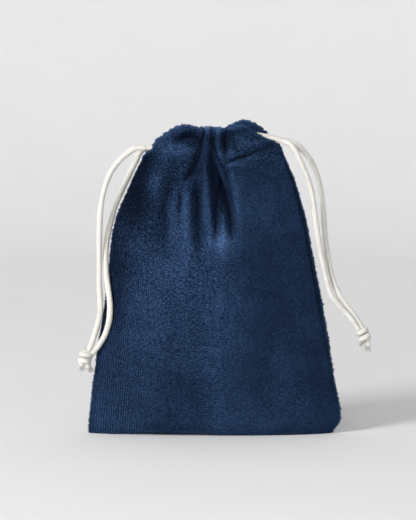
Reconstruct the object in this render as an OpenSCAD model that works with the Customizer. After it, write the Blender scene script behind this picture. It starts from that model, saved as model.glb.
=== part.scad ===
// Drawstring gift pouch: two sewn velvet panels with a gathered casing along the mouth,
// and two drawcords that pull against each other to close it.
// Millimetres. +Z is up, the front faces -Y, and the origin is the centre of the base.

/* [Pouch] */
// Width across the two bottom corners
pouch_w = 117; // [105:1:130]
// Height from the base to the fold along the mouth
pouch_h = 143; // [138:1:148]
// Depth from front to back where the pouch is fullest
pouch_d = 27.6; // [25:0.2:32]
// Depth from front to back of the flat base
base_d = 17; // [14:0.5:18]
// Thickness of the velvet
cloth_t = 1.2; // [1:0.1:1.4]

/* [Casing] */
// Width of the gathered mouth, between its two cord exits
mouth_w = 62; // [56:1:68]
// Height of the casing, from its stitching to the fold
casing_h = 16; // [15:0.5:17]
// Clear width of the tunnel that the cords run in
tunnel_w = 3.4; // [3:0.1:3.8]

/* [Cords] */
// Diameter of each drawcord
cord_d = 2.3; // [2:0.1:2.5]
// Diameter of the knot at the end of each pair of strands
knot_d = 6; // [6:0.5:8]
// Length of the frayed tails under each knot
tail_l = 5.5; // [4:0.5:8]

/* [Stitching] */
// Distance from one stitch to the next
stitch_pitch = 3; // [2.5:0.5:4]
// Thickness of the thread
thread_d = 0.5; // [0.4:0.1:0.6]

/* [Hidden] */

velvet = [0.13, 0.20, 0.33];
thread = [0.07, 0.10, 0.18];
satin = [0.90, 0.88, 0.84];

// The cloth path of one panel, in depth and height on the centre line
corner_r = 5;                       // bend from the base into the wall
wall_base_d = base_d / 2 + corner_r; // depth of the wall where that bend ends
full_z = 42;                        // height at which the pouch is fullest
neck_d = 7.5;                       // depth of the wall at the casing stitching
stitch_z = pouch_h - casing_h;      // height of the casing stitching
fold_r = (tunnel_w + cloth_t) / 2;  // bend at the top of the casing
fold_z = pouch_h - cloth_t / 2 - fold_r; // height at which that bend begins
casing_d = neck_d + 0.8;            // depth of the casing's outer ply
hem_gap = 0.2;                      // space between the two plies at the stitching
seam_end_z = stitch_z - 9;          // top of the side seams, under the cord exits
taper_z = 130;                      // height at which the mouth's own width is reached
droop = 3;                          // how far the mouth sinks at its two ends
seam_w = 2.5 * cloth_t;             // width of cloth that the panels share in a side seam
bulge_p = 2.6;                      // how full the panel's curve from side to side is
mouth_bulge = 1;                    // how far the casing curves out between its ends
spans = 18;                         // divisions across a panel

function smooth(a, b, v) =
    let (t = min(1, max(0, (v - a) / (b - a)))) t * t * (3 - 2 * t);

// Half-width of the pouch at a height: straight flanks that draw in to the mouth
function half_w(z) =
    let (v = min(1, max(0, z) / taper_z))
    mouth_w / 2 + (pouch_w - mouth_w) / 2 * pow(1 - pow(v, 1.3), 0.75);

// Depth of the wall at a height
function wall_d(z) = z < full_z
    ? wall_base_d + (pouch_d / 2 - wall_base_d) * sin(90 * z / full_z)
    : pouch_d / 2 + (neck_d - pouch_d / 2) * smooth(full_z, stitch_z, z);

// Fullness of the panel from the middle (1) to a side edge (0)
function bulge(u) = 1 - pow(abs(u), bulge_p);

// Middle of the cloth as [depth, height]: base, bend, wall, casing, fold and inner ply
cloth_path = concat(
    [for (i = [0:3]) [base_d / 2 * i / 4, cloth_t / 2]],
    [for (a = [0:22.5:90])
        [base_d / 2 + corner_r * sin(a), cloth_t / 2 + corner_r * (1 - cos(a))]],
    [for (i = [1:12]) let (z = corner_r + (stitch_z - corner_r) * i / 12) [wall_d(z), z]],
    [[casing_d, stitch_z + 4], [casing_d, fold_z - 3]],
    [for (a = [0:36:180]) [casing_d - fold_r * (1 - cos(a)), fold_z + fold_r * sin(a)]],
    [[casing_d - 2 * fold_r, fold_z - 3], [casing_d - 2 * fold_r, stitch_z + 4],
        [neck_d - cloth_t - hem_gap, stitch_z], [neck_d - cloth_t - hem_gap, stitch_z - 2]]
);
path_last = len(cloth_path) - 1;

function unit(v) = v / norm(v);

// Outward direction of the cloth at one point of its path
function path_normal(i) =
    let (d = unit(cloth_path[min(i + 1, path_last)] - cloth_path[max(i - 1, 0)])) [d[1], -d[0]];

// How far the panel's ends have left the side seam at a height: 0 in the seam, 1 at the casing
function parted(z) = smooth(seam_end_z, stitch_z - 2, z);

// A point of the panel's outer (side 1) or inner (side -1) face, for the front panel
function panel_point(i, u, side) =
    let (
        p = cloth_path[i] + path_normal(i) * side * cloth_t / 2,
        open = parted(cloth_path[i][1]),
        w = half_w(cloth_path[i][1]) - (side < 0 ? seam_w * (1 - open) : 0),
        end_d = open * (p[0] - mouth_bulge),
        sink = droop * smooth(taper_z - 30, pouch_h, p[1]) * pow(abs(u), 3)
    )
    [u * w, -(end_d + (p[0] - end_d) * bulge(u)), p[1] - sink];

function grid(side) =
    [for (i = [0:path_last], j = [0:spans]) panel_point(i, 2 * j / spans - 1, side)];

// One sheet of cloth: an outer and an inner grid of points, closed along its four borders
module panel() {
    row = spans + 1;
    inner = (path_last + 1) * row;
    outer_faces = [for (i = [0:path_last - 1], j = [0:spans - 1]) let (a = i * row + j)
        each [[a, a + row, a + row + 1], [a, a + row + 1, a + 1]]];
    inner_faces = [for (f = outer_faces) [f[2] + inner, f[1] + inner, f[0] + inner]];
    ends = [for (i = [0:path_last - 1], s = [0, 1]) let (
            a = i * row + s * spans, b = a + row)
        each s == 0
            ? [[a, b + inner, b], [a, a + inner, b + inner]]
            : [[a, b, b + inner], [a, b + inner, a + inner]]];
    edges = [for (j = [0:spans - 1], s = [0, 1]) let (
            a = s * path_last * row + j, b = a + 1)
        each s == 0
            ? [[a, b, b + inner], [a, b + inner, a + inner]]
            : [[a, b + inner, b], [a, a + inner, b + inner]]];
    polyhedron(concat(grid(1), grid(-1)), concat(outer_faces, inner_faces, ends, edges));
}

// Stitches along the casing, each one a thread through both plies
module hem_stitching() {
    reach = mouth_w / 2 - 3;
    through = 2 * cloth_t + hem_gap + thread_d;
    for (x = [-reach:stitch_pitch:reach]) {
        u = x / half_w(stitch_z);
        outer = neck_d + cloth_t / 2 + thread_d / 2;
        end_d = outer - mouth_bulge;
        slope = mouth_bulge * bulge_p * pow(abs(u), bulge_p - 1) / half_w(stitch_z);
        sink = droop * smooth(taper_z - 30, pouch_h, stitch_z) * pow(abs(u), 3);
        translate([x, -(end_d + mouth_bulge * bulge(u)), stitch_z - sink])
            rotate([0, 0, atan(slope) * sign(x)])
                translate([-stitch_pitch / 3, 0, -thread_d / 2])
                    cube([stitch_pitch * 2 / 3, through, thread_d]);
    }
}

// Stitches up the right-hand side, through the cloth that the two panels share
module side_seam() {
    for (z = [6:stitch_pitch:seam_end_z - 3]) {
        lean = atan((half_w(z + 1) - half_w(z - 1)) / 2);
        translate([half_w(z) - seam_w / 2, 0, z])
            rotate([0, lean, 0])
                cube([thread_d, cloth_t * 0.8, stitch_pitch * 2 / 3], center = true);
    }
}

// A tube of eight sides swept along a route that never runs along the given side direction
module cord(route, side) {
    sides = 8;
    last = len(route) - 1;
    rings = [for (i = [0:last]) let (
            t = unit(route[min(i + 1, last)] - route[max(i - 1, 0)]),
            n = unit(side - t * (side * t)),
            b = cross(t, n))
        for (k = [0:sides - 1]) let (a = 360 * k / sides)
            route[i] + cord_d / 2 * (n * cos(a) + b * sin(a))];
    walls = [for (i = [0:last - 1], k = [0:sides - 1]) let (
            a = i * sides + k, b = i * sides + (k + 1) % sides)
        each [[a, a + sides, b + sides], [a, b + sides, b]]];
    polyhedron(rings, concat(walls,
        [[for (k = [0:sides - 1]) k]], [[for (k = [sides - 1:-1:0]) last * sides + k]]));
}

// Where the cords run: straight through the tunnels, the left cord under the right one
exit_x = mouth_w / 2;
exit_y = casing_d - fold_r - mouth_bulge / 2;
left_z = pouch_h - 11.6;
right_z = left_z + cord_d + 0.9;
loop_rings = 8; // rings along each casing

// The held part of a cord that leaves at the left: front casing, round its far end, back casing
function loop_route(z) = concat(
    [for (i = [0:loop_rings]) [exit_x * (2 * i / loop_rings - 1), -exit_y, z]],
    [for (a = [-67.5:22.5:67.5]) [exit_x + exit_y * cos(a), exit_y * sin(a), z]],
    [for (i = [0:loop_rings]) [exit_x * (1 - 2 * i / loop_rings), exit_y, z]]
);

// The free strands, from the casing's end down the outside of the pouch to the knot
left_front_route = [
    [-exit_x, -exit_y, left_z], [-35.6, -5.8, 131.2], [-40.4, -5.6, 128], [-44.8, -5, 123.4],
    [-48, -4.2, 118], [-50.2, -3.2, 111.6], [-51.6, -2.3, 104.8], [-52.2, -1.6, 97],
    [-52.4, -1.3, 88], [-52.4, -1.2, 78.6], [-52.6, -1.4, 70], [-52.2, -1.9, 63],
    [-52, -2.2, 55.8], [-53.6, -2.5, 49], [-55.6, -2.6, 42.8], [-57.4, -2.7, 38]
];
left_back_route = [
    [-exit_x, exit_y, left_z], [-33.8, 6, 129.2], [-36, 6.4, 124.8], [-38.6, 6.4, 119.2],
    [-42, 6, 112], [-45.2, 5, 104.6], [-47.4, 3.6, 97], [-49, 2, 89.4], [-49.6, 0.2, 81.4],
    [-49.2, -1.8, 73.6], [-48.2, -3.6, 66.4], [-47.5, -4.6, 59.4], [-47.8, -4.8, 53],
    [-49.4, -4.3, 46.8], [-51.6, -3.8, 42.4], [-54.2, -3.3, 38.8], [-57, -2.9, 35.8]
];
right_front_route = [
    [exit_x, -exit_y, right_z], [34.8, -6.2, 133], [38, -6.6, 128.4], [41, -6.2, 121.8],
    [43.8, -5.5, 114.6], [45.4, -4.7, 107], [46.5, -4, 98.4], [47.8, -3.7, 89.6],
    [49.6, -3.4, 80.4], [51.4, -3.2, 71.6], [53.6, -3, 64.4], [57.2, -2.9, 59.2],
    [61.4, -2.8, 55], [64.6, -2.9, 51], [66.8, -2.8, 47.4]
];
right_back_route = [
    [exit_x, exit_y, right_z], [36, 5.2, 133.8], [40.8, 4.6, 130.2], [44.9, 3.8, 124.6],
    [48, 3, 117], [49.8, 2.2, 108], [50.6, 1.4, 98], [51.5, 0.8, 88], [52.9, 0.2, 79],
    [54.9, -0.4, 70.4], [57.6, -0.9, 64], [61.2, -1.3, 58.8], [65, -1.4, 53.8], [68.2, -1.7, 48.6]
];
left_knot_at = [-59, -2.8, 34.8];
right_knot_at = [68.6, -2.3, 45.4];
left_knot_lean = 15;
right_knot_lean = -25;
left_tail_lean = -22;
right_tail_lean = 8;

// A knot drawn tight: a short barrel with rounded ends, and its two tails below
module knot(at, lean) {
    r = knot_d / 2;
    h = knot_d * 1.3;
    translate(at)
        rotate([0, lean, 0])
            rotate_extrude($fn = 32)
                polygon([[0, -h / 2], [0.55 * r, -h / 2], [0.9 * r, -0.36 * h], [r, -0.15 * h],
                    [r, 0.15 * h], [0.9 * r, 0.36 * h], [0.55 * r, h / 2], [0, h / 2]]);
}

// Two cut ends side by side, coming out of the knot's lower end at a lean of their own
module tails(at, knot_lean, lean) {
    splay = 3;
    translate(at)
        rotate([0, knot_lean, 0])
            translate([0, 0, -knot_d * 0.4])
                rotate([0, lean - knot_lean, 0])
                    for (s = [-1, 1])
                        translate([s * cord_d * 0.6, 0, 0])
                            rotate([180, -s * splay, 0])
                                cylinder(d = cord_d, h = tail_l, $fn = 24);
}

module front_panel() color(velvet) panel();
module back_panel() color(velvet * 0.9) mirror([0, 1, 0]) panel();
module front_hem_stitching() color(thread) hem_stitching();
module back_hem_stitching() color(thread) mirror([0, 1, 0]) hem_stitching();
module left_side_seam() color(thread) mirror([1, 0, 0]) side_seam();
module right_side_seam() color(thread) side_seam();

// Stitches along the middle of the base, through both panels' edges
module bottom_seam() color(thread) {
    reach = pouch_w / 2 - 6;
    for (x = [-reach:stitch_pitch:reach])
        translate([x, 0, cloth_t / 2])
            cube([stitch_pitch * 2 / 3, cloth_t * 0.8, thread_d], center = true);
}

module left_drawcord_loop() color(satin) cord(loop_route(left_z), [0, 0, 1]);
module left_front_strand() color(satin) cord(left_front_route, [0, 1, 0]);
module left_back_strand() color(satin) cord(left_back_route, [0, 1, 0]);
module left_knot() color(satin) knot(left_knot_at, left_knot_lean);
module left_tails() color(satin) tails(left_knot_at, left_knot_lean, left_tail_lean);
module right_drawcord_loop() color(satin) mirror([1, 0, 0]) cord(loop_route(right_z), [0, 0, 1]);
module right_front_strand() color(satin) cord(right_front_route, [0, 1, 0]);
module right_back_strand() color(satin) cord(right_back_route, [0, 1, 0]);
module right_knot() color(satin) knot(right_knot_at, right_knot_lean);
module right_tails() color(satin) tails(right_knot_at, right_knot_lean, right_tail_lean);

front_panel();
back_panel();
front_hem_stitching();
back_hem_stitching();
left_side_seam();
right_side_seam();
bottom_seam();
left_drawcord_loop();
left_front_strand();
left_back_strand();
left_knot();
left_tails();
right_drawcord_loop();
right_front_strand();
right_back_strand();
right_knot();
right_tails();
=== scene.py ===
"""Drawstring gift pouch: velvet panels, stitching and satin drawcords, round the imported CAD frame."""
import math

import bpy
import numpy as np
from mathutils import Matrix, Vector


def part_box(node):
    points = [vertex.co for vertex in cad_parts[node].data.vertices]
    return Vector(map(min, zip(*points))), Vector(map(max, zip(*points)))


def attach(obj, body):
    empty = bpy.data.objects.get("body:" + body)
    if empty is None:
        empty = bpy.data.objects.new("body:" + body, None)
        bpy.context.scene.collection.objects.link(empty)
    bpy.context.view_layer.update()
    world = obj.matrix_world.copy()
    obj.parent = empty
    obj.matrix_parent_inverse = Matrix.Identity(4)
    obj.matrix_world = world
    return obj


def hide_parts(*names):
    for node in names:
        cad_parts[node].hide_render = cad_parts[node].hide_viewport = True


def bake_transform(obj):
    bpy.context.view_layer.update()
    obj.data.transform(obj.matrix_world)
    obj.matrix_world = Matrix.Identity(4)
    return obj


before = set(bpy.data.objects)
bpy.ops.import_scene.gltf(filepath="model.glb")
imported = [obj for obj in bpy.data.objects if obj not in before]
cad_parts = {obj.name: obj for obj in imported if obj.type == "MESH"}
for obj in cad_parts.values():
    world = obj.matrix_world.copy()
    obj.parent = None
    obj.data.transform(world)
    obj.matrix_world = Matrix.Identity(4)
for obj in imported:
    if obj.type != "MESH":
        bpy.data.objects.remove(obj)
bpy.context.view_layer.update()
MM = 0.001
RNG = np.random.default_rng(7)

# ---------------------------------------------------------------- sizes, in millimetres, from the frame
LOW, HIGH = (np.array(p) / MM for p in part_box("front_panel"))
POUCH_W = HIGH[0] - LOW[0]          # across the bottom corners
BASE_HALF_D = 8.5                   # half of the flat base's depth
CORNER_R = 5.0                      # bend from the base into the wall
CLOTH_T = 1.0                       # cloth with its pile
STITCH_Z = 127.0                    # casing stitching on the middle line
NECK_D = 7.0                        # half-depth of the neck, to the middle of the cloth
CORNER_TURN_IN = 3.4                # one base corner is folded in by this much
CORD_D = 2.3
CORD_SPREAD = 0.13                  # a free strand's limp filaments stand this far off the cord's radius
MOUTH_HALF_W = 30.5
RIB_PITCH = 1.15                    # of the fabric's backing
RIB_SCALE = 2 * math.pi / 20 / RIB_PITCH   # a wave texture repeats every 2 pi / 20 / scale
CLEAR = 0.02                        # cloth stays this far from the middle plane and from the floor


def smooth(a, b, v):
    t = np.clip((v - a) / (b - a), 0.0, 1.0)
    return t * t * (3 - 2 * t)


def near(v, place, width):
    """1 at a place, falling away smoothly on both sides of it."""
    return np.exp(-(((v - place) / width) ** 2))


# ---------------------------------------------------------------- camera
# Long lens, a little above the table and looking slightly down
VIEW_DISTANCE = 1.15
VIEW_TILT = math.radians(3.5)
VIEW_HEIGHT = 0.2387                # what the frame's height covers at the pouch
TARGET = Vector((-0.0026, 0.0, 0.0798))


def make_camera():
    data = bpy.data.cameras.new("camera")
    data.sensor_width = 36
    data.lens = 36 * VIEW_DISTANCE / VIEW_HEIGHT
    data.clip_end = 50
    camera = bpy.data.objects.new("camera", data)
    back = Vector((0, -math.cos(VIEW_TILT), math.sin(VIEW_TILT)))
    camera.location = TARGET + back * VIEW_DISTANCE
    camera.rotation_euler = (-back).to_track_quat("-Z", "Y").to_euler()
    bpy.context.collection.objects.link(camera)
    bpy.context.scene.camera = camera


make_camera()


# ---------------------------------------------------------------- mesh helpers
def new_mesh(name, points, faces, material, uv=None):
    """An object from points in millimetres; uv is one pair for each point."""
    mesh = bpy.data.meshes.new(name)
    mesh.from_pydata((np.asarray(points) * MM).tolist(), [], [tuple(map(int, f)) for f in faces])
    mesh.materials.append(material)
    mesh.polygons.foreach_set("use_smooth", [True] * len(mesh.polygons))
    if uv is not None:
        layer = mesh.uv_layers.new(name="UVMap")
        index = np.empty(len(mesh.loops), np.int32)
        mesh.loops.foreach_get("vertex_index", index)
        layer.data.foreach_set("uv", np.asarray(uv, np.float32)[index].ravel())
    mesh.validate()
    piece = bpy.data.objects.new(name, mesh)
    bpy.context.collection.objects.link(piece)
    return piece


def spline(route, step=0.5):
    """Points every step millimetres along a smooth curve through the route (centripetal Catmull-Rom)."""
    p = np.array(route, float)
    p = np.vstack([2 * p[0] - p[1], p, 2 * p[-1] - p[-2]])
    fine = []
    for a, b, c, d in zip(p[:-3], p[1:-2], p[2:-1], p[3:]):
        knots = np.cumsum([0] + [np.linalg.norm(v) ** 0.5 for v in (b - a, c - b, d - c)])
        t = np.linspace(knots[1], knots[2], 24, endpoint=False)[:, None]
        t0, t1, t2, t3 = knots
        a1 = (t1 - t) / (t1 - t0) * a + (t - t0) / (t1 - t0) * b
        a2 = (t2 - t) / (t2 - t1) * b + (t - t1) / (t2 - t1) * c
        a3 = (t3 - t) / (t3 - t2) * c + (t - t2) / (t3 - t2) * d
        b1 = (t2 - t) / (t2 - t0) * a1 + (t - t0) / (t2 - t0) * a2
        b2 = (t3 - t) / (t3 - t1) * a2 + (t - t1) / (t3 - t1) * a3
        fine.append((t2 - t) / (t2 - t1) * b1 + (t - t1) / (t2 - t1) * b2)
    fine = np.vstack(fine + [p[-2][None]])
    run = np.concatenate([[0], np.cumsum(np.linalg.norm(np.diff(fine, axis=0), axis=1))])
    even = np.linspace(0, run[-1], max(int(run[-1] / step), 3) + 1)
    return np.column_stack([np.interp(even, run, fine[:, k]) for k in range(3)])


def tube(path, radius, sides=20, relief=None):
    """Points, faces and uv of a closed round tube along a path; radius may vary along it."""
    n = len(path)
    radius = np.broadcast_to(np.asarray(radius, float), (n,))
    tangent = np.gradient(path, axis=0)
    tangent /= np.linalg.norm(tangent, axis=1)[:, None]
    side = np.cross(tangent[0], [0.0, 1.0, 0.0] if abs(tangent[0][1]) < 0.9 else [1.0, 0.0, 0.0])
    sides_at = []
    for t in tangent:
        side = side - t * (side @ t)
        side /= np.linalg.norm(side)
        sides_at.append(side)
    sides_at = np.array(sides_at)
    across = np.cross(tangent, sides_at)
    run = np.concatenate([[0], np.cumsum(np.linalg.norm(np.diff(path, axis=0), axis=1))])
    angle = np.linspace(0, 2 * math.pi, sides, endpoint=False)
    r = radius[:, None] * np.ones(sides)[None]
    if relief is not None:
        r = r + relief(angle[None], run[:, None])
    points = (
        path[:, None]
        + (r * np.cos(angle)[None])[..., None] * sides_at[:, None]
        + (r * np.sin(angle)[None])[..., None] * across[:, None]
    ).reshape(-1, 3)
    faces = []
    for i in range(n - 1):
        a, b = i * sides, (i + 1) * sides
        faces += [(a + k, a + (k + 1) % sides, b + (k + 1) % sides, b + k) for k in range(sides)]
    faces.append(tuple(range(sides - 1, -1, -1)))
    faces.append(tuple((n - 1) * sides + k for k in range(sides)))
    uv = np.column_stack([np.tile(angle / (2 * math.pi), n), np.repeat(run, sides)])
    return points, faces, uv


def merged(parts):
    """One set of points, faces and uv from several."""
    points, faces, uv, shift = [], [], [], 0
    for p, f, t in parts:
        points.append(p)
        uv.append(t)
        faces += [tuple(i + shift for i in face) for face in f]
        shift += len(p)
    return np.vstack(points), faces, np.vstack(uv)


# ---------------------------------------------------------------- materials
def shader(name):
    material = bpy.data.materials.new(name)
    material.use_nodes = True
    tree = material.node_tree
    return material, tree, tree.nodes["Principled BSDF"]


def add(tree, kind, inputs=None, **settings):
    """A node with its settings; inputs maps a socket name to a value or to another node's socket."""
    node = tree.nodes.new(kind)
    for key, value in settings.items():
        setattr(node, key, value)
    for key, value in (inputs or {}).items():
        if isinstance(value, bpy.types.NodeSocket):
            tree.links.new(value, node.inputs[key])
        else:
            node.inputs[key].default_value = value
    return node


def ramp(tree, source, stops):
    node = tree.nodes.new("ShaderNodeValToRGB")
    while len(node.color_ramp.elements) < len(stops):
        node.color_ramp.elements.new(0.5)
    for element, (place, colour) in zip(node.color_ramp.elements, stops):
        element.position = place
        element.color = (*colour, 1)
    tree.links.new(source, node.inputs["Fac"])
    return node.outputs["Color"]


def maths(tree, operation, *values):
    return add(tree, "ShaderNodeMath", dict(enumerate(values)), operation=operation).outputs["Value"]


def mapped(tree, value, start, end, to_start, to_end):
    """A value turned from one range into another, and held at the ends."""
    limits = {"Value": value, "From Min": start, "From Max": end, "To Min": to_start, "To Max": to_end}
    return add(tree, "ShaderNodeMapRange", limits).outputs["Result"]


def velvet_shade(tree, place, ribs, raking_light_left, pile):
    """How light the velvet is at each place, about 0.5: grain, brushed patches, ribs and the painted light
    and shade of the folds.
    """
    axes = add(tree, "ShaderNodeSeparateXYZ", {"Vector": place}).outputs
    # the grain's contrast is raised at the left and in the gather
    left_grain_gain = mapped(tree, axes["X"], 0.014, 0.002, 0.65, 1.5)
    gathered = mapped(tree, axes["Z"], 0.112, 0.130, 0.0, 1.6)
    gain = maths(tree, "MAXIMUM", left_grain_gain, gathered)
    gain = maths(tree, "MULTIPLY", gain, mapped(tree, axes["Z"], 0.020, 0.075, 0.62, 1.0))
    gain = maths(tree, "MAXIMUM", gain, 0.7)
    grain = maths(tree, "SUBTRACT", pile, 0.5)
    shade = maths(tree, "MULTIPLY_ADD", grain, gain, 0.5)
    brushed = add(tree, "ShaderNodeTexNoise",
                  {"Vector": place, "Scale": 55.0, "Detail": 4.0, "Roughness": 0.55}).outputs["Fac"]
    patch = maths(tree, "SUBTRACT", brushed, 0.5)
    shade = maths(tree, "MULTIPLY_ADD", patch, 0.26, shade)
    # the ribs' painted light and shade, strongest at the left
    rib_shade = maths(tree, "MULTIPLY", maths(tree, "SUBTRACT", ribs, 0.5), raking_light_left)
    shade = maths(tree, "MULTIPLY_ADD", rib_shade, 0.32, shade)
    # painted shade in the creases and painted highlights on the ridges, edges and fold, from a mesh
    # attribute
    light_shade_amount = add(tree, "ShaderNodeAttribute", attribute_name="painted_light_and_shade").outputs["Fac"]
    return maths(tree, "MULTIPLY_ADD", light_shade_amount, 0.27, shade)


def velvet_material():
    """Short navy pile: dark seen straight on and lit along the folds by its sheen, with painted light and
    shade, grain and the backing's ribs.
    """
    material, tree, bsdf = shader("navy_velvet")
    cloth = add(tree, "ShaderNodeUVMap").outputs["UV"]
    place = add(tree, "ShaderNodeTexCoord").outputs["Object"]
    laid = add(tree, "ShaderNodeMapping", {"Vector": place, "Scale": (0.45, 1.0, 1.0)}).outputs["Vector"]
    pile = add(tree, "ShaderNodeTexNoise",
               {"Vector": laid, "Scale": 1900.0, "Detail": 3.0, "Roughness": 0.7}).outputs["Fac"]
    ribs = add(tree, "ShaderNodeTexWave",
               {"Vector": cloth, "Scale": RIB_SCALE, "Distortion": 0.5, "Detail": 2.0, "Detail Scale": 2.0},
               bands_direction="X").outputs["Fac"]
    across = add(tree, "ShaderNodeSeparateXYZ", {"Vector": place}).outputs["X"]
    # painted light: the ribs' tone is strongest at the left, where the key light rakes across them; their
    # bump uses the same mask
    raking_light_left = mapped(tree, across, -0.004, -0.042, 0.04, 0.5)
    # the lightest stop is reached by the painted highlight along the fold
    colour = ramp(tree, velvet_shade(tree, place, ribs, raking_light_left, pile),
                  [(0.26, (0.0010, 0.0026, 0.0080)), (0.5, (0.0074, 0.0180, 0.0445)),
                   (0.80, (0.0310, 0.0660, 0.1480)), (1.05, (0.1000, 0.1750, 0.3300))])
    tree.links.new(colour, bsdf.inputs["Base Color"])
    rib_bump = add(tree, "ShaderNodeBump", {"Strength": raking_light_left, "Distance": 0.0004, "Height": ribs})
    pile_bump = add(tree, "ShaderNodeBump", {"Strength": 0.8, "Distance": 0.0005, "Height": pile,
                                             "Normal": rib_bump.outputs["Normal"]})
    tree.links.new(pile_bump.outputs["Normal"], bsdf.inputs["Normal"])
    bsdf.inputs["Roughness"].default_value = 0.8
    bsdf.inputs["Specular IOR Level"].default_value = 0.04
    bsdf.inputs["Sheen Weight"].default_value = 0.45
    bsdf.inputs["Sheen Roughness"].default_value = 0.34
    bsdf.inputs["Sheen Tint"].default_value = (0.10, 0.215, 0.51, 1)
    return material


def satin_material():
    """Off-white satin cord: a smooth sheen over fine slanting threads."""
    material, tree, bsdf = shader("ivory_satin")
    uv = add(tree, "ShaderNodeUVMap").outputs["UV"]
    slant = add(tree, "ShaderNodeMapping",
                {"Vector": uv, "Scale": (9.0, 1.0, 1.0), "Rotation": (0, 0, 0.5)})
    threads = add(tree, "ShaderNodeTexWave",
                  {"Vector": slant.outputs["Vector"], "Scale": 0.9, "Distortion": 0.6, "Detail": 2.0},
                  bands_direction="X")
    place = add(tree, "ShaderNodeTexCoord").outputs["Object"]
    patches = add(tree, "ShaderNodeTexNoise", {"Vector": place, "Scale": 220.0, "Detail": 4.0})
    both = maths(tree, "ADD", threads.outputs["Fac"], patches.outputs["Fac"])
    colour = ramp(tree, maths(tree, "MULTIPLY", both, 0.5),
                  [(0.15, (0.45, 0.435, 0.405)), (0.45, (0.62, 0.605, 0.57)),
                   (0.8, (0.715, 0.70, 0.665))])
    tree.links.new(colour, bsdf.inputs["Base Color"])
    bump = add(tree, "ShaderNodeBump",
               {"Strength": 0.5, "Distance": 0.00015, "Height": threads.outputs["Fac"]})
    tree.links.new(bump.outputs["Normal"], bsdf.inputs["Normal"])
    bsdf.inputs["Roughness"].default_value = 0.5
    bsdf.inputs["Specular IOR Level"].default_value = 0.3
    bsdf.inputs["Subsurface Weight"].default_value = 0.6
    bsdf.inputs["Subsurface Radius"].default_value = (1.0, 0.95, 0.9)
    bsdf.inputs["Subsurface Scale"].default_value = 0.0012
    bsdf.inputs["Sheen Weight"].default_value = 0.25
    bsdf.inputs["Sheen Roughness"].default_value = 0.4
    return material


def thread_material():
    """Dark navy sewing thread, twisted from two strands."""
    material, tree, bsdf = shader("navy_thread")
    place = add(tree, "ShaderNodeTexCoord").outputs["Object"]
    twist = add(tree, "ShaderNodeTexWave", {"Vector": place, "Scale": 900.0, "Distortion": 1.0},
                bands_direction="DIAGONAL")
    colour = ramp(tree, twist.outputs["Fac"],
                  [(0.2, (0.001, 0.002, 0.005)), (0.9, (0.004, 0.007, 0.016))])
    tree.links.new(colour, bsdf.inputs["Base Color"])
    bump = add(tree, "ShaderNodeBump",
               {"Strength": 0.5, "Distance": 0.0001, "Height": twist.outputs["Fac"]})
    tree.links.new(bump.outputs["Normal"], bsdf.inputs["Normal"])
    bsdf.inputs["Roughness"].default_value = 0.8
    bsdf.inputs["Specular IOR Level"].default_value = 0.1
    return material


def paper_material():
    """Pale seamless backdrop paper."""
    material, tree, bsdf = shader("backdrop_paper")
    place = add(tree, "ShaderNodeTexCoord").outputs["Object"]
    grain = add(tree, "ShaderNodeTexNoise", {"Vector": place, "Scale": 9.0, "Detail": 3.0})
    colour = ramp(tree, grain.outputs["Fac"],
                  [(0.3, (0.862, 0.862, 0.862)), (0.7, (0.877, 0.877, 0.877))])
    tree.links.new(colour, bsdf.inputs["Base Color"])
    bsdf.inputs["Roughness"].default_value = 0.85
    bsdf.inputs["Specular IOR Level"].default_value = 0.2
    return material


VELVET = velvet_material()
SATIN = satin_material()
THREAD = thread_material()
PAPER = paper_material()

# ---------------------------------------------------------------- free cords
# Each strand follows the frame's own route from the casing's end to its knot
EXIT_Y = 5.5
LEFT_Z = 131.4
RIGHT_Z = 134.6
ROUTES = {
    "left_front_strand": [
        (-31, -EXIT_Y, LEFT_Z), (-35.6, -5.8, 131.2), (-40.4, -5.6, 128), (-44.8, -5, 123.4),
        (-48, -4.2, 118), (-50.2, -3.2, 111.6), (-51.6, -2.3, 104.8), (-52.2, -1.6, 97),
        (-52.4, -1.3, 88), (-52.4, -1.2, 78.6), (-52.6, -1.4, 70), (-52.2, -1.9, 63),
        (-52, -2.2, 55.8), (-53.6, -2.5, 49), (-55.6, -2.6, 42.8), (-57.4, -2.7, 38)],
    "left_back_strand": [
        (-31, EXIT_Y, LEFT_Z), (-33.8, 6, 129.2), (-36, 6.4, 124.8), (-38.6, 6.4, 119.2),
        (-42, 6, 112), (-45.2, 5, 104.6), (-47.4, 3.6, 97), (-49, 2, 89.4), (-49.6, 0.2, 81.4),
        (-49.2, -1.8, 73.6), (-48.2, -3.6, 66.4), (-47.5, -4.6, 59.4), (-47.8, -4.8, 53),
        (-49.4, -4.3, 46.8), (-51.6, -3.8, 42.4), (-54.2, -3.3, 38.8), (-57, -2.9, 35.8)],
    "right_front_strand": [
        (31, -EXIT_Y, RIGHT_Z), (34.8, -6.2, 133), (38, -6.6, 128.4), (41, -6.2, 121.8),
        (43.8, -5.5, 114.6), (45.4, -4.7, 107), (46.5, -4, 98.4), (47.8, -3.7, 89.6),
        (49.6, -3.4, 80.4), (51.4, -3.2, 71.6), (53.6, -3, 64.4), (57.2, -2.9, 59.2),
        (61.4, -2.8, 55), (64.6, -2.9, 51), (66.8, -2.8, 47.4)],
    "right_back_strand": [
        (31, EXIT_Y, RIGHT_Z), (36, 5.2, 133.8), (40.8, 4.6, 130.2), (44.9, 3.8, 124.6),
        (48, 3, 117), (49.8, 2.2, 108), (50.6, 1.4, 98), (51.5, 0.8, 88), (52.9, 0.2, 79),
        (54.9, -0.4, 70.4), (57.6, -0.9, 64), (61.2, -1.3, 58.8), (65, -1.4, 53.8),
        (68.2, -1.7, 48.6)],
}
# Each knot: where it is, how far it leans, and how far the tails under it lean
KNOTS = {"left": ((-59, -2.8, 34.8), 15.0, -22.0), "right": ((68.6, -2.3, 45.4), -25.0, 8.0)}
KNOT_D = 6.0


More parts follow.
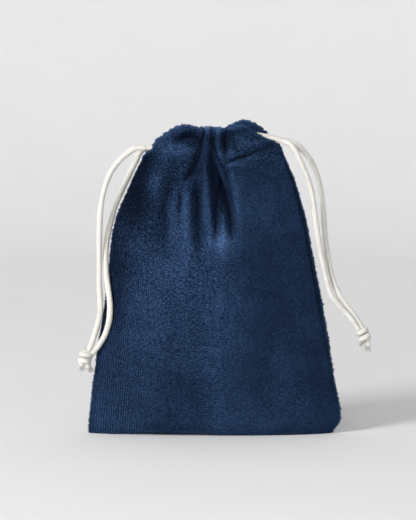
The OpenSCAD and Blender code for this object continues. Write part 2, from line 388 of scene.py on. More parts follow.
def satin_relief(angle, run):
    """The cord's slanting filaments, and a slow change of section, as a limp cord is not quite round."""
    filaments = 0.035 * np.sin(7 * angle + 0.9 * run) + 0.02 * np.sin(15 * angle + 1.7 * run)
    return filaments + 0.06 * np.sin(2 * angle + 0.17 * run) + 0.03 * np.sin(0.33 * run)


def strand(name):
    path = spline(ROUTES[name])
    points, faces, uv = tube(path, CORD_D / 2 + CORD_SPREAD, sides=28, relief=satin_relief)
    piece = new_mesh(name + "_cord", points, faces, SATIN, uv)
    body = name.split("_")[0] + "_cord"
    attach(piece, body)
    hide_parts(name)
    length = np.linalg.norm(np.diff(path, axis=0), axis=1).sum()
    return piece, path, length


STRANDS = {name: strand(name) for name in ROUTES}


def turned(points, lean):
    """Points turned about Y, so that what ran along +Z leans towards +X."""
    a = math.radians(lean)
    return np.asarray(points, float) @ np.array([[math.cos(a), 0, -math.sin(a)], [0, 1, 0],
                                                 [math.sin(a), 0, math.cos(a)]])


def wrapped_strand(sign):
    """One strand of a doubled overhand knot, in the knot's frame: in at the top, once round the other."""
    core = [(0.8 * sign, 0, 3.8), (0.6 * sign, 0.2, 2.0), (0.4 * sign, 0.5, 0.2), (0.9, 0.8, -1.2)]
    first = 1.05 if sign > 0 else -1.8
    turns = []
    for k in range(12):
        a = math.radians(20 + 36 * k)
        turns.append((2.05 * math.cos(a), 1.95 * math.sin(a), first + 0.10 * k))
    return spline(core + turns + [(0.5, 0.8, 0.2)], 0.3)


def make_knot(side):
    at, lean, _ = KNOTS[side]
    parts = []
    for sign in (-1, 1):
        path = turned(wrapped_strand(sign), lean) + at
        parts.append(tube(path, 1.22, sides=24, relief=satin_relief))
    points, faces, uv = merged(parts)
    knot = new_mesh(side + "_overhand_knot", points, faces, SATIN, uv)
    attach(knot, side + "_cord")
    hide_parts(side + "_knot")
    return knot


def make_tails(side):
    """The two cut ends under a knot, each a short stub that comes apart into a fan of loose threads."""
    at, lean, tail_lean = KNOTS[side]
    foot = turned([(0, 0, -0.4 * KNOT_D)], lean)[0] + at
    parts = []
    for sign in (-1, 1):
        stub = 1.3 if sign < 0 else 3.1
        route = [(0.6 * sign, 0, 1.6), (1.1 * sign, 0, 0), (1.4 * sign, -0.1, -1.2),
                 (1.5 * sign, -0.2, -stub)]
        path = spline(route, 0.3)
        n = len(path)
        radius = 1.1 * np.concatenate([np.ones(n - 4), np.linspace(1, 0.85, 4)])
        parts.append(tube(turned(path, tail_lean) + foot, radius, sides=20, relief=satin_relief))
        tip = path[-1]
        for _ in range(70):
            start = tip + [RNG.normal(0, 0.45), RNG.normal(0, 0.45), 0.7]
            spread = np.array([RNG.normal(0.05 * sign, 0.30), RNG.normal(0, 0.30), -1.0])
            spread /= np.linalg.norm(spread)
            bend = RNG.normal(0, 0.25, 3)
            reach = RNG.uniform(1.6, 3.0)
            fibre = spline([start, start + spread * reach * 0.5, start + spread * reach + bend], 0.4)
            taper = np.linspace(0.10, 0.05, len(fibre))
            parts.append(tube(turned(fibre, tail_lean) + foot, taper, sides=5))
    points, faces, uv = merged(parts)
    tails = new_mesh(side + "_frayed_tails", points, faces, SATIN, uv)
    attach(tails, side + "_cord")
    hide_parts(side + "_tails")
    return tails


for side in ("left", "right"):
    ends = [make_knot(side), make_tails(side)]

# ---------------------------------------------------------------- cords held in the casings
# The right cord's last stretch rides up over the casing's end; each far end turns back inside the folds
HELD_ROUTES = {
    "left": [(-31, -EXIT_Y, LEFT_Z), (-24, -EXIT_Y, LEFT_Z), (0, -EXIT_Y, LEFT_Z), (18, -EXIT_Y, LEFT_Z),
             (25, -4.6, LEFT_Z), (28.6, -2.4, LEFT_Z), (29.6, 0, LEFT_Z), (28.6, 2.4, LEFT_Z),
             (25, 4.6, LEFT_Z), (18, EXIT_Y, LEFT_Z), (0, EXIT_Y, LEFT_Z), (-24, EXIT_Y, LEFT_Z),
             (-31, EXIT_Y, LEFT_Z)],
    "right": [(31, -EXIT_Y, RIGHT_Z), (25.5, -4.6, 136.0), (19.5, -3.8, 137.2), (13, -4.8, 136.2),
              (6, -4.2, RIGHT_Z), (-4, -4.6, RIGHT_Z), (-12, -EXIT_Y, RIGHT_Z), (-19, -4.6, 134.0),
              (-22.6, -2.4, 133.6), (-23.6, 0, 133.6), (-22.6, 2.4, 133.6), (-19, 4.6, 134.0),
              (-12, EXIT_Y, RIGHT_Z), (6, EXIT_Y, RIGHT_Z), (13, 4.8, 136.4), (19.5, 3.6, 137.8),
              (25.5, 4.2, 136.4), (31, EXIT_Y, RIGHT_Z)],
}


def held_cord(side):
    points, faces, uv = tube(spline(HELD_ROUTES[side]), CORD_D / 2, sides=28, relief=satin_relief)
    piece = new_mesh(side + "_held_drawcord", points, faces, SATIN, uv)
    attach(piece, side + "_cord")
    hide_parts(side + "_drawcord_loop")


for side in ("left", "right"):
    held_cord(side)

# ---------------------------------------------------------------- the cloth's shape
# Creases and ridges drawn in the cloth by the gather, each a list of (height, place, depth, half-width).
# A crease's depth is taken from the cloth's surface, and a ridge's is added to it
FRONT_CREASES = [
    [(115.8, -14.4, 0, 1.0), (117.4, -12.2, 2.4, 1.3), (120.0, -9.4, 4.4, 1.5), (123.0, -7.9, 5.0, 1.5),
     (127.0, -6.6, 5.2, 1.3), (131.5, -5.3, 4.6, 1.0), (137.3, -4.1, 3.6, 0.8), (143, -3.6, 2.4, 0.7)],
    [(88, 0.9, 0, 1.4), (93, 1.0, 1.5, 1.4), (101.5, 1.1, 3.2, 1.6), (109, 1.3, 4.8, 1.9),
     (116.4, 2.1, 6.4, 2.2), (121.4, 1.9, 6.6, 2.0), (125.4, 0.4, 4.6, 1.4), (128.8, -0.6, 2.8, 0.9),
     (133.8, -1.0, 2.0, 0.75), (143, -0.5, 1.8, 0.7)],
    [(89, 8.2, 0, 1.6), (93, 8.0, 1.4, 1.8), (99, 7.7, 3.2, 1.9), (106.4, 6.5, 4.2, 2.0),
     (113.9, 5.0, 4.8, 2.0), (118.0, 3.8, 3.0, 1.6), (121.5, 2.6, 0, 1.4)],
    [(126, 2.6, 0, 0.7), (129, 1.6, 1.4, 0.8), (133, 0.6, 1.8, 0.75), (138, 0.9, 1.8, 0.65),
     (143, 1.0, 1.6, 0.6)],
    [(127.5, 6.4, 0, 1.2), (130.5, 5.4, 2.6, 1.6), (134, 5.0, 3.8, 1.9), (137, 5.4, 3.8, 1.6),
     (139.5, 6.2, 2.4, 1.1), (143, 6.6, 1.8, 0.8)],
    [(128.6, 11.2, 0, 0.9), (131.5, 10.2, 1.1, 1.0), (135, 9.2, 1.2, 1.0), (138.0, 8.6, 0, 0.9)],
    [(78, -6.6, 0, 3.0), (90, -6.8, 1.8, 2.9), (104, -7.0, 2.7, 2.7), (112, -7.6, 2.4, 2.2),
     (118, -8.4, 0, 2.0)],
    [(80, -23.5, 0, 3.4), (98, -22.6, 1.3, 3.2), (109, -21.6, 1.3, 2.8), (120, -17.5, 0, 2.8)],
    [(99, -15.4, 0, 1.2), (105, -15.3, 1.6, 1.2), (110, -14.9, 1.2, 1.1), (114, -13.8, 0, 1.0)],
]
FRONT_RIDGES = [
    [(78, -11.6, 0, 2.4), (92, -11.8, 1.0, 2.3), (104, -12.3, 1.3, 1.9), (110, -12.0, 0.9, 1.7),
     (114, -11, 0, 1.6)],
    [(84, -1.4, 0, 1.8), (92, -1.4, 0.9, 1.7), (104, -2.4, 1.4, 1.6), (116, -3.1, 1.6, 1.5),
     (126, -3.4, 1.2, 1.3), (134, -2.8, 0.6, 1.1), (143, -2.4, 0.4, 1.0)],
    [(74, 4.6, 0, 3.0), (88, 4.6, 0.9, 2.2), (98, 4.8, 1.0, 1.4), (104, 4.3, 0.6, 1.1),
     (109, 3.8, 0, 1.0)],
    [(90, 12.0, 0, 2.6), (100, 11.4, 0.9, 2.3), (110, 10.2, 1.1, 2.0), (118, 8.6, 1.2, 1.8),
     (124, 7.4, 0.7, 1.6), (128, 7.0, 0, 1.5)],
    [(123.2, 6.6, 0, 0.8), (124.6, 5.4, 0.8, 0.8), (128.3, 3.3, 1.2, 0.8), (135.2, 2.2, 1.2, 0.8),
     (138.4, 2.5, 0.8, 0.8), (143, 2.8, 0, 0.8)],
    [(80, -17.5, 0, 2.4), (94, -18.0, 0.7, 2.4), (108, -18.3, 0.9, 2.1), (115, -17.0, 0, 2.0)],
    [(104, -27.5, 0, 3.0), (113, -26.8, 0.5, 2.8), (121, -25.0, 0.6, 3.2), (130, -20.0, 0.6, 5.0),
     (140, -18.0, 0, 5.0)],
]
# Patches of painted shade (an amount below zero) and painted highlight (above zero) on the front.
# Each is (place, height, half-width, half-height, amount)
FRONT_LIGHT_AND_SHADE_PATCHES = [
    (-10.2, 136.2, 3.4, 2.8, -1.8), (-15.0, 135.6, 3.6, 2.0, -1.1), (-14.5, 130.3, 7.0, 2.6, 0.5),
    (9.6, 138.2, 3.6, 1.2, -0.8), (7.5, 129.2, 3.2, 1.6, 0.6), (4.6, 134.2, 1.8, 4.0, -0.9),
    (14.5, 133.4, 6.0, 1.8, 0.35), (9.8, 124.0, 6.0, 1.0, 0.6), (19.0, 127.0, 7.0, 1.2, 0.35),
    (11.5, 116.0, 3.0, 8.0, 0.25), (-27.5, 118.0, 2.6, 7.0, 0.25), (-36.0, 110.0, 8.0, 16.0, -1.25),
    (-29.5, 125.0, 4.5, 5.0, -0.7), (-21.0, 112.0, 4.0, 9.0, -0.4), (-18.5, 121.5, 3.0, 4.0, -0.3),
    (4.0, 89.0, 7.0, 6.0, 0.5), (2.2, 115.5, 3.4, 8.5, -0.7), (-1.0, 138.9, 6.0, 2.0, 0.55),
    (-3.0, 124.0, 2.4, 11.0, -0.5), (-4.0, 104.0, 1.6, 10.0, 0.4), (-8.2, 124.6, 1.3, 4.5, -0.6),
    (-10.6, 119.8, 1.8, 2.2, -0.7), (-15.0, 84.0, 8.0, 20.0, 0.30), (-33.0, 60.0, 12.0, 30.0, 0.10),
    (2.0, 40.0, 9.0, 45.0, 0.25), (24.0, 70.0, 14.0, 40.0, -0.10), (-46.0, 74.0, 8.0, 28.0, -0.70),
    (-12.0, 20.0, 10.0, 16.0, -0.18), (-42.0, 22.0, 8.0, 14.0, -0.12),
]
BACK_CREASES = [
    [(98, -20.0, 0, 1.6), (108, -17.0, 1.6, 1.5), (118, -13.6, 2.8, 1.3), (128, -11.2, 3.0, 1.1),
     (145, -9.8, 2.4, 1.0)],
    [(84, -7.0, 0, 2.0), (98, -6.6, 1.8, 1.9), (110, -5.6, 3.0, 1.7), (121, -4.6, 3.6, 1.4),
     (131, -4.0, 3.0, 1.0), (145, -3.6, 2.4, 0.9)],
    [(90, 2.6, 0, 1.6), (104, 2.0, 2.0, 1.6), (116, 1.2, 3.2, 1.4), (128, 0.5, 3.0, 1.0),
     (145, 0.2, 2.4, 0.9)],
    [(80, 11.0, 0, 2.4), (96, 9.6, 1.6, 2.2), (110, 7.6, 2.6, 1.8), (122, 5.4, 3.2, 1.4),
     (132, 4.6, 2.8, 1.1), (145, 4.4, 2.2, 1.0)],
    [(104, 21.0, 0, 1.8), (114, 17.0, 1.2, 1.6), (124, 12.6, 2.0, 1.4), (134, 9.6, 2.0, 1.2),
     (145, 8.6, 1.0, 1.0)],
]
BACK_RIDGES = [
    [(82, -13.0, 0, 3.0), (98, -12.2, 1.2, 2.6), (112, -9.8, 1.4, 2.0), (124, -7.6, 0.8, 1.6),
     (136, -6.8, 0, 1.4)],
    [(76, -2.6, 0, 2.6), (96, -2.2, 1.1, 2.2), (112, -1.9, 1.4, 1.6), (126, -1.8, 0.8, 1.4),
     (138, -1.8, 0, 1.2)],
    [(78, 6.0, 0, 2.6), (98, 5.4, 1.0, 2.0), (114, 3.8, 1.2, 1.6), (128, 2.6, 0, 1.4)],
    [(92, 16.5, 0, 3.2), (106, 13.6, 1.2, 2.4), (120, 9.6, 1.2, 1.8), (132, 7.2, 0, 1.4)],
]
# Where a share of the panel's half-width lies once it is gathered, as a share of the mouth's half-width
FRONT_GATHER = [(-1.0, -1.0), (-0.38, -0.18), (-0.17, -0.14), (0.04, -0.03), (0.145, 0.098),
                (0.24, 0.207), (1.0, 1.0)]
BACK_GATHER = [(-1.0, -1.0), (-0.32, -0.26), (-0.08, -0.09), (0.07, 0.03), (0.26, 0.20), (1.0, 1.0)]
# The fold along the mouth and the stitching under it, as height over place
FRONT_FOLD_LINE = [(-30.5, 126.6), (-27.5, 132.6), (-23, 136.6), (-18, 139.6), (-13.5, 141.2),
                   (-6, 139.9), (-1, 140.5), (4, 139.8), (7, 140.0), (13, 141.0), (17.5, 138.4),
                   (23, 135.0), (27.9, 133.2), (30.5, 130.2)]
BACK_FOLD_LINE = [(-30.5, 128.4), (-24, 134.4), (-14, 139.0), (-4, 138.2), (5, 139.6), (10, 142.2),
                  (14.0, 143.1), (18, 142.0), (22, 139.4), (26, 135.2), (30.5, 130.6)]
FRONT_STITCH_LINE = [(-30.5, 124.2), (-22, 125.2), (-10, 124.4), (4, 124.4), (9.5, 126.4), (16.4, 128.6),
                     (20.4, 130.6), (25, 132.3), (28, 132.6), (30.5, 130.2)]
BACK_STITCH_LINE = [(-30.5, 126.0), (-20, 127.2), (0, 125.6), (20, 127.4), (30.5, 128.6)]

# Dimples (an amount below zero) and swellings in the front casing, in the same form as the patches
FRONT_CASING_SPOTS = [(-10.9, 136.2, 4.4, 2.2, -4.6), (-15.0, 131.5, 7.0, 3.2, 1.5),
                      (9.8, 138.4, 3.8, 1.2, -2.6), (16.0, 133.4, 6.0, 2.4, 1.0)]


def spots(places, x, z):
    """The sum of soft spots, each (place, height, half-width, half-height, amount)."""
    return sum(amount * near(x, at_x, wide) * near(z, at_z, tall)
               for at_x, at_z, wide, tall, amount in places)


def curve_through(points, x):
    """A smooth height over x through a few points."""
    px, py = np.array(points, float).T
    slope = np.gradient(py, px)
    flat = np.diff(py) / np.diff(px)
    for k in range(1, len(px) - 1):
        if flat[k - 1] * flat[k] <= 0:
            slope[k] = 0
    k = np.clip(np.searchsorted(px, x) - 1, 0, len(px) - 2)
    w = px[k + 1] - px[k]
    t = np.clip((x - px[k]) / w, 0, 1)
    return ((2 * t**3 - 3 * t**2 + 1) * py[k] + (t**3 - 2 * t**2 + t) * w * slope[k]
            + (-2 * t**3 + 3 * t**2) * py[k + 1] + (t**3 - t**2) * w * slope[k + 1])


def drawn_folds(folds, x, z, sharp):
    """How deep the given folds are at each place."""
    total = np.zeros(np.broadcast(x, z).shape)
    for fold in folds:
        heights = [row[0] for row in fold]
        place, depth, width = (np.interp(z, heights, [row[k] for row in fold]) for k in (1, 2, 3))
        inside = (z >= heights[0]) & (z <= heights[-1])
        away = np.abs((x - place) / width)
        total += np.where(inside, depth * np.exp(-(away**sharp)), 0)
    return total


def half_w(z):
    """The pouch's half-width at a height: straight flanks that draw in to the mouth."""
    v = np.clip(z / 130.0, 0, 1)
    return MOUTH_HALF_W + (POUCH_W / 2 - MOUTH_HALF_W) * (1 - v**1.3) ** 0.75


def wall_depth(z):
    """Depth of the wall on the middle line at a height."""
    low = 13.2 + 0.6 * np.sin(np.clip(z / 42.0, 0, 1) * math.pi / 2)
    return low + (NECK_D - 13.8) * smooth(42.0, STITCH_Z, z)


def noise_field(x, z, scale, seed):
    """Smooth wandering between -1 and 1, from a few waves in seeded directions."""
    waves = np.random.default_rng(seed)
    total = 0
    for _ in range(7):
        a = waves.uniform(0, 2 * math.pi)
        phase = waves.uniform(0, 2 * math.pi)
        k = waves.uniform(0.6, 1.6) / scale
        total = total + np.sin(2 * math.pi * k * (x * math.cos(a) + z * math.sin(a)) + phase)
    return total / 4.0


def cloth_rows():
    """The cloth's path on the middle line, from the base seam to the hem: depth, height, casing share.

    The share runs 0 to 1 from the stitching up to the fold, and 1 to 2 from there down to the hem."""
    a = np.linspace(0, math.pi / 2, 12)
    base = [(d, 0.5) for d in np.linspace(0, BASE_HALF_D, 12)[:-1]]
    bend = [(BASE_HALF_D + CORNER_R * math.sin(t), 0.5 + CORNER_R * (1 - math.cos(t))) for t in a]
    heights = np.concatenate([np.linspace(CORNER_R + 0.5, STITCH_Z - 7, 150)[1:],
                              np.linspace(STITCH_Z - 7, STITCH_Z, 26)[1:]])
    wall = [(float(wall_depth(z)), z) for z in heights]
    below = np.array(base + bend + wall)
    below = np.column_stack([below, np.zeros(len(below))])
    share = np.linspace(0, 2.0, 90)[1:]
    above = np.column_stack([np.zeros(len(share)), np.full(len(share), STITCH_Z), share])
    return np.vstack([below, above])


ROWS = cloth_rows()
DEPTH, HEIGHT, SHARE = (ROWS[:, k][:, None] for k in range(3))
IN_CASING = SHARE > 0
UP = np.where(SHARE <= 1, SHARE, 2 - SHARE)         # share of the casing's height
OFF_STITCHING = np.where(IN_CASING, SHARE * 15, STITCH_Z - HEIGHT)  # along the cloth
WALL_ROW = 22                       # the row where the wall stands upright
STITCH_ROW = int(np.argmax(IN_CASING[:, 0])) - 1
COLUMNS = 260
ACROSS = np.linspace(-1, 1, COLUMNS + 1)[None, :]   # share of the half-width, from edge to edge
FIBRES = 16000                      # on each half panel
TUFT = 4                            # fibres that lean together


def painted_light_and_shade(surface, front):
    """Painted light and shade on the velvet: painted shade in the creases, a painted highlight on the
    ridges.
    """
    x, z = surface[..., 0], surface[..., 2]
    at_fold = near(SHARE, 0.98, 0.17)
    # painted shade in the creases, kept weaker along the fold
    closed = 1 - np.exp(-drawn_folds(FRONT_CREASES if front else BACK_CREASES, x, z, 1.25) / 2.0)
    closed = closed * (1 - 0.75 * at_fold)
    if front:
        # deeper painted shade down the cores of the first two front creases
        core = 1 - np.exp(-drawn_folds(FRONT_CREASES[:2], x + 0.7, z, 0.6) / 1.5)
        closed = closed + 0.35 * core * (1 - at_fold)
    # painted highlight on the ridges, less the painted shade of the creases
    light_shade_amount = 0.42 * drawn_folds(FRONT_RIDGES if front else BACK_RIDGES, x, z, 2.0) - 1.1 * closed
    if front:
        # painted light and shade in the listed patches
        light_shade_amount = light_shade_amount + spots(FRONT_LIGHT_AND_SHADE_PATCHES, x, z)
        # shade under the stitching, where the cloth is least gathered
        light_shade_amount = light_shade_amount - 1.6 * near(OFF_STITCHING, 0, 0.75) * (SHARE < 1) * smooth(3, 9, x)
    # the sewn edges: a painted highlight along the rim with a painted shadow line beside it, both stronger
    # at the right
    edge = np.abs(ACROSS)
    edge_highlight_and_shadow = smooth(0.984, 0.998, edge) * np.where(ACROSS > 0, 1.3, 0.5)
    edge_highlight_and_shadow = edge_highlight_and_shadow - near(edge, 0.966, 0.010) * np.where(ACROSS > 0, 0.65, 0.3) * smooth(28, 62, z)
    # a painted highlight along the fold at the mouth, strongest near the middle
    folded = (0.55 + 0.7 * near(x, -1, 11)) * at_fold
    return np.clip(light_shade_amount + edge_highlight_and_shadow, -1.3, 1) + folded


def panel_height(front, at_mouth):
    """Heights: rows near the mouth follow the stitching, and the casing spans from it to the fold."""
    stitch = curve_through(FRONT_STITCH_LINE if front else BACK_STITCH_LINE, at_mouth)
    fold = curve_through(FRONT_FOLD_LINE if front else BACK_FOLD_LINE, at_mouth)
    creases = FRONT_CREASES if front else BACK_CREASES
    fold = fold - 0.35 * drawn_folds(creases, at_mouth, np.full_like(at_mouth, 139.0), 1.5)
    rise = np.sin(np.clip(UP, 0, 1) * math.pi / 2) ** 1.15
    z = HEIGHT + (stitch - STITCH_Z) * smooth(84, STITCH_Z, HEIGHT)
    return np.where(IN_CASING, stitch + (fold - stitch) * rise, z)


def panel_place(drawn_u, z):
    """Places across: evenly spread low down, drawn together on the cord, with each flank's own swell."""
    u = ACROSS
    x = half_w(z) * (u + (drawn_u - u) * smooth(98, 134, z))
    x = x - (3.1 * near(z, 99, 17) - 1.2 * smooth(142, 128, z)) * smooth(0.25, 1.0, -u)
    x = x - (1.3 * near(z, 82, 18) + 0.7 * near(z, 121, 7)) * smooth(0.5, 1.0, -u)
    return x + (1.3 * near(z, 11, 9) - 1.0 * smooth(104, 76, z)) * smooth(0.3, 1.0, u)


def panel_depth(front, x, z):
    """Depths: a lens in the body, nearly straight along the cord, with the creases and ridges."""
    seed = 11 if front else 23
    creases = FRONT_CREASES if front else BACK_CREASES
    ridges = FRONT_RIDGES if front else BACK_RIDGES
    bulge = np.clip(1 - np.abs(ACROSS) ** 2.6, 0, 1) ** 0.82
    end = smooth(115, 125, z) * 5.6
    outer = end + (np.where(IN_CASING, NECK_D, DEPTH) - end) * bulge
    over = np.sin(np.clip(UP, 0, 1) * math.pi)
    inside = smooth(0.7, 1.4, SHARE)
    d = outer * (1 - 0.62 * inside) + np.where(SHARE <= 1, 0.9, -0.9) * over * IN_CASING
    puff = 2.6 * smooth(110, 129, z) * (1 - np.abs(x / MOUTH_HALF_W).clip(0, 1) ** 4)
    relief = puff + drawn_folds(ridges, x, z, 2.0) - drawn_folds(creases, x, z, 1.5)
    d = d + relief * (1 - 0.75 * inside) * (1 - 0.45 * smooth(0.66, 0.9, SHARE)) * smooth(2, 12, HEIGHT)

    # soft unevenness of a filled bag, and on the front the crest down its middle
    body = smooth(2, 14, z) * (1 - smooth(104, 124, z)) * (bulge**0.5)
    d = d + 0.40 * noise_field(x, z, 36, seed) * body + 0.12 * noise_field(x, z, 13, seed + 1) * body
    if front:
        d = d + 1.5 * np.exp(-np.abs(x - 4.0) / 11) * smooth(4, 30, z) * (1 - smooth(84, 112, z))
        d = d + spots(FRONT_CASING_SPOTS, x, z) * (1 - inside) * IN_CASING
    # the stitching pulls a groove, deepest where the cloth is least gathered
    pulled = 0.2 + 1.1 * smooth(0, 9, x) if front else 0.5
    d = d - pulled * near(OFF_STITCHING, 0, 0.9) * (SHARE < 1)
    return d + 0.35 * pulled * near(OFF_STITCHING, 2.0, 1.2) * (~IN_CASING)


def panel_surface(front):
    """The middle of one panel's cloth as a grid of points; the back is built facing -Y and turned over."""
    drawn_u = np.interp(ACROSS, *np.array(FRONT_GATHER if front else BACK_GATHER).T)
    z = panel_height(front, drawn_u * MOUTH_HALF_W)
    x = panel_place(drawn_u, z)
    d = panel_depth(front, x, z)
    # the base: cloth lifts a little between the corners, and one corner is turned in
    lift = (1.1 if front else 0.7) * smooth(-50, -38, x) * smooth(10, -14, x)
    near_base = (DEPTH > 4) * (1 - smooth(0, 12, z))
    z = z + lift * near_base * smooth(3, 8, d)
    x = x - CORNER_TURN_IN * (1 - smooth(0, 7.0, z)) * smooth(0.80, 1.0, ACROSS)
    return np.stack(np.broadcast_arrays(x, -d, z), axis=-1)


def grid_normals(p):
    across = np.gradient(p, axis=1)
    along = np.gradient(p, axis=0)
    n = np.cross(across, along)
    return n / np.maximum(np.linalg.norm(n, axis=2), 1e-9)[..., None]


def cloth_uv(columns):
    """Where each point lies on the flat cloth, in millimetres."""
    run = np.concatenate([[0], np.cumsum(np.hypot(np.diff(ROWS[:, 0]), np.diff(ROWS[:, 1])))])
    run = run + ROWS[:, 2] * 16.0
    return np.column_stack([np.tile(columns * POUCH_W / 2, len(ROWS)), np.repeat(run, len(columns))])


def set_painted_light(piece, values):
    # stores the painted light and shade as a point attribute
    light_shade_amount = piece.data.attributes.new("painted_light_and_shade", "FLOAT", "POINT")
    light_shade_amount.data.foreach_set("value", values.astype(np.float32))


def sheet_faces(rows, columns):
    """Faces of a closed sheet: an outer grid, then an inner grid, joined round the rim."""
    count = rows * columns
    k = (np.arange(rows - 1)[:, None] * columns + np.arange(columns - 1)).ravel()
    quads = np.column_stack([k, k + 1, k + columns + 1, k + columns])
    rim = []
    for column, order in ((0, 1), (columns - 1, -1)):
        e = np.arange(rows - 1) * columns + column
        rim.append(np.column_stack([e, e + columns, e + columns + count, e + count])[:, ::order])
    for row, order in ((0, -1), (rows - 1, 1)):
        e = np.arange(columns - 1) + row * columns
        rim.append(np.column_stack([e, e + 1, e + 1 + count, e + count])[:, ::order])
    return np.vstack([quads, quads[:, ::-1] + count] + rim)


def panel_sides(surface, flip):
    """The outer and inner side of a panel's cloth, with its pile uneven and tufted along the fold."""
    normal = grid_normals(surface)
    x = surface[..., 0]
    fringe = smooth(0.93, 0.985, np.abs(ACROSS)) + near(SHARE, 0.95, 0.28)
    pile = (0.11 + 0.10 * np.clip(fringe, 0, 1)) * RNG.standard_normal(x.shape)
    along = np.arange(len(ROWS))[:, None] * 0.35
    tufts = noise_field(x, along, 1.7, 31) + 0.5 * noise_field(x, along, 0.8, 37)
    pile = pile + 0.85 * np.clip(tufts, -0.35, 1) * near(SHARE, 0.98, 0.20)
    outer = surface + normal * (CLOTH_T / 2 + pile)[..., None]
    inner = surface - normal * CLOTH_T / 2
    # the two panels meet in their side seams: neither passes the middle plane
    inner[..., 1] = np.minimum(inner[..., 1], -CLEAR)
    outer[..., 1] = np.minimum(outer[..., 1], -CLEAR)
    outer[..., 2] = np.maximum(outer[..., 2], CLEAR)
    if flip:
        for grid in (outer, inner, normal):
            grid[..., 1] *= -1
    return outer, inner, normal


def make_panel(face, surface, flip):
    """Two halves of one panel, each a closed sheet, cut on the middle line and shaded as one."""
    outer, inner, normal = panel_sides(surface, flip)
    half = COLUMNS // 2
    # painted light and shade for the panel, shared by both halves and their pile tips
    light_shade_amount = painted_light_and_shade(surface, not flip)
    for side, cut in (("left", slice(0, half + 1)), ("right", slice(half, COLUMNS + 1))):
        a, b, n = outer[:, cut], inner[:, cut], normal[:, cut]
        u = ACROSS[0, cut]
        faces = sheet_faces(*a.shape[:2])
        if flip:
            faces = faces[:, ::-1]
        points = np.vstack([a.reshape(-1, 3), b.reshape(-1, 3)])
        uv = cloth_uv(u)
        piece = new_mesh(f"{face}_panel_{side}_half", points, faces, VELVET, np.tile(uv, (2, 1)))
        piece.data.normals_split_custom_set_from_vertices(
            np.vstack([n.reshape(-1, 3), -n.reshape(-1, 3)]).tolist())
        set_painted_light(piece, np.tile(light_shade_amount[:, cut].ravel(), 2))
        fibres = pile_fibres(f"{face}_pile_{side}_half", a, n, light_shade_amount[:, cut], u, uv, flip)
        for part in (piece, fibres):
            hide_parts(face + "_panel")
            gather_with(part)


def pile_fibres(name, grid, normal, light_shade_amount, u, uv, flip):
    """Loose tips of the pile on the wall, each a slim closed spike, most where cloth is seen edge on."""
    edge = smooth(0.955, 0.99, np.abs(u)) * (SHARE < 1.3)
    fold = near(SHARE, 0.95, 0.22) * np.ones(len(u))
    size = np.linalg.norm(np.cross(np.gradient(grid, axis=0), np.gradient(grid, axis=1)), axis=2)
    # DEPTH is nought in the casing, so no tip stands there, and the weights for the fold come to nothing
    likely = (size * (0.35 + 7.0 * edge + 20.0 * fold) * (SHARE < 1.25) * (DEPTH > 6)).ravel()
    pick = np.repeat(RNG.choice(len(likely), FIBRES // TUFT, p=likely / likely.sum()), TUFT)
    root, out = grid.reshape(-1, 3)[pick], normal.reshape(-1, 3)[pick]
    root = root + RNG.normal(0, 0.15, root.shape) - out * 0.25
    tuft_lean = np.repeat(np.clip(RNG.normal(0, 0.45, (FIBRES // TUFT, 3)), -0.7, 0.7), TUFT, axis=0)
    lean = out + tuft_lean + RNG.normal(0, 0.16, root.shape) + [0, 0, 0.15]
    lean /= np.linalg.norm(lean, axis=1)[:, None]
    side = np.cross(lean, RNG.normal(0, 1, root.shape))
    side /= np.linalg.norm(side, axis=1)[:, None]
    other = np.cross(lean, side)
    proud = np.clip(fold.ravel()[pick][:, None], 0, 1)
    clump = np.repeat(RNG.uniform(0, 1, (FIBRES // TUFT, 1)), TUFT, axis=0) ** 5
    thick = RNG.uniform(0.05, 0.10, (FIBRES, 1)) * (1 + proud * (1.1 + 3.5 * clump))
    reach = RNG.uniform(0.45, 0.85, (FIBRES, 1)) * (1 + proud * (0.2 + 1.9 * clump))
    ring = [root + thick * (math.cos(a) * side + math.sin(a) * other) for a in (0, 2.094, 4.189)]
    points = np.stack(ring + [root + lean * reach], axis=1)
    y = points[..., 1]
    points[..., 1] = np.maximum(y, CLEAR) if flip else np.minimum(y, -CLEAR)
    points[..., 2] = np.maximum(points[..., 2], CLEAR)
    first = 4 * np.arange(FIBRES)[:, None]
    faces = np.vstack([first + np.array(f) for f in ((0, 2, 1), (0, 1, 3), (1, 2, 3), (2, 0, 3))])
    piece = new_mesh(name, points.reshape(-1, 3), faces, VELVET, np.repeat(uv[pick], 4, axis=0))
    proud = proud[:, 0]
    # the tips take the painted light and shade at their roots, a painted highlight on the tufts along the
    # fold, and a random tone per tuft
    tuft_shade = np.repeat(RNG.normal(0, 0.9, FIBRES // TUFT), TUFT)
    shade = 0.3 * proud + tuft_shade * (0.2 + 0.8 * proud)
    set_painted_light(piece, np.repeat(np.clip(light_shade_amount.ravel()[pick] + shade, -1, 2), 4))
    return piece


def gather_with(piece):
    """Bakes the piece's placement into its mesh."""
    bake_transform(piece)


FRONT = panel_surface(True)
BACK = panel_surface(False)
make_panel("front", FRONT, False)
make_panel("back", BACK, True)


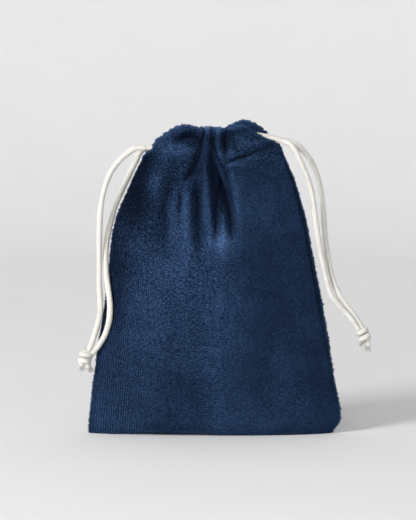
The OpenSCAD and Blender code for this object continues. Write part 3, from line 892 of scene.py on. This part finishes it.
# ---------------------------------------------------------------- stitching
def hem_stitches(face, surface, flip):
    """Short stitches sunk into the pile along the casing."""
    line = surface[STITCH_ROW]
    buried = 0.30 * smooth(6, -4, line[:, :1]) if not flip else 0.05
    line = line + grid_normals(surface)[STITCH_ROW] * (CLOTH_T / 2 + 0.02 - buried)
    if flip:
        line = line * [1, -1, 1]
    for side, keep in (("left", line[:, 0] < 0), ("right", line[:, 0] >= 0)):
        path = line[keep]
        run = np.concatenate([[0], np.cumsum(np.linalg.norm(np.diff(path, axis=0), axis=1))])
        parts = []
        for start in np.arange(0.4, run[-1] - 2.2, 2.6):
            at = np.linspace(start, start + 2.1, 7)
            stitch = np.column_stack([np.interp(at, run, path[:, k]) for k in range(3)])
            thick = 0.31 * np.sin(np.linspace(0.15, math.pi - 0.15, 7)) ** 0.4
            parts.append(tube(stitch, thick, sides=8))
        points, faces, uv = merged(parts)
        piece = new_mesh(f"{face}_hem_stitches_{side}_half", points, faces, THREAD, uv)
        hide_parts(face + "_hem_stitching")
        gather_with(piece)


def overlock(angle, run):
    """The thread's turns round a sewn edge."""
    return 0.10 * np.sin(2 * math.pi * run / 1.3 + angle)


def edge_seams():
    """The overlocked edges where the two panels are sewn together, down both sides and along the base."""
    open_rows = 16                  # the side seams stop short of the stitching, where the cords leave
    for side, column in (("left", 0), ("right", COLUMNS)):
        edge = FRONT[WALL_ROW:STITCH_ROW - open_rows, column] * [1, 0, 1]
        inward = np.array([-1.0 if side == "right" else 1.0, 0, 0])
        points, faces, uv = tube(spline(edge[::6] + inward * 0.7, 0.3), 0.75, sides=14, relief=overlock)
        piece = new_mesh(side + "_overlocked_seam", points, faces, THREAD, uv)
        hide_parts(side + "_side_seam")
        gather_with(piece)
    reach = POUCH_W / 2 - CORNER_TURN_IN - 1.0
    line = [(x, 0, 0.85) for x in np.linspace(-POUCH_W / 2 + 2.6, reach, 12)]
    points, faces, uv = tube(spline(line, 0.3), 0.75, sides=14, relief=overlock)
    piece = new_mesh("base_overlocked_seam", points, faces, THREAD, uv)
    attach(piece, "root")
    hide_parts("bottom_seam")


hem_stitches("front", FRONT, False)
hem_stitches("back", BACK, True)
edge_seams()


# ---------------------------------------------------------------- floor, backdrop and light
def make_stage():
    """A round studio floor that curves up into a low wall on every side."""
    radius, bend, wall, sides = 2.2, 0.9, 0.5, 96
    profile = [(0.0, 0.0), (0.5, 0.0), (1.0, 0.0), (radius - bend, 0.0)]
    profile += [(radius - bend + bend * math.sin(a), bend * (1 - math.cos(a)))
                for a in np.linspace(0, math.pi / 2, 24)[1:]]
    profile.append((radius, bend + wall))
    points, faces = [(0, 0, 0)], []
    for r, z in profile[1:]:
        points += [(r * math.cos(2 * math.pi * k / sides), r * math.sin(2 * math.pi * k / sides), z)
                   for k in range(sides)]
    faces += [(0, 1 + k, 1 + (k + 1) % sides) for k in range(sides)]
    for i in range(len(profile) - 2):
        a, b = 1 + i * sides, 1 + (i + 1) * sides
        faces += [(a + k, b + k, b + (k + 1) % sides, a + (k + 1) % sides) for k in range(sides)]
    stage = new_mesh("studio_floor", np.array(points) / MM, faces, PAPER)


def area_light(name, place, target, size, power, colour=(1, 1, 1)):
    data = bpy.data.lights.new(name, "AREA")
    data.shape = "RECTANGLE"
    data.size, data.size_y = size
    data.energy = power
    data.color = colour
    light = bpy.data.objects.new(name, data)
    light.location = place
    light.rotation_euler = (Vector(target) - Vector(place)).to_track_quat("-Z", "Y").to_euler()
    bpy.context.collection.objects.link(light)


def make_light():
    world = bpy.data.worlds.new("soft_daylight")
    world.use_nodes = True
    background = world.node_tree.nodes["Background"]
    background.inputs["Color"].default_value = (0.97, 0.985, 1.0, 1)
    background.inputs["Strength"].default_value = 0.35
    bpy.context.scene.world = world
    area_light("key", (-1.31, -1.44, 0.84), (0, 0, 0.06), (0.6, 0.6), 37.0, (1.0, 0.99, 0.975))
    area_light("fill", (-0.28, -1.85, 0.42), (0, 0, 0.07), (0.5, 0.4), 9.0)
    area_light("backdrop", (0.0, 0.7, 1.5), (0, 2.1, 0.35), (1.6, 0.6), 5.0)
    bpy.context.scene.view_settings.view_transform = "Standard"


make_stage()
make_light()
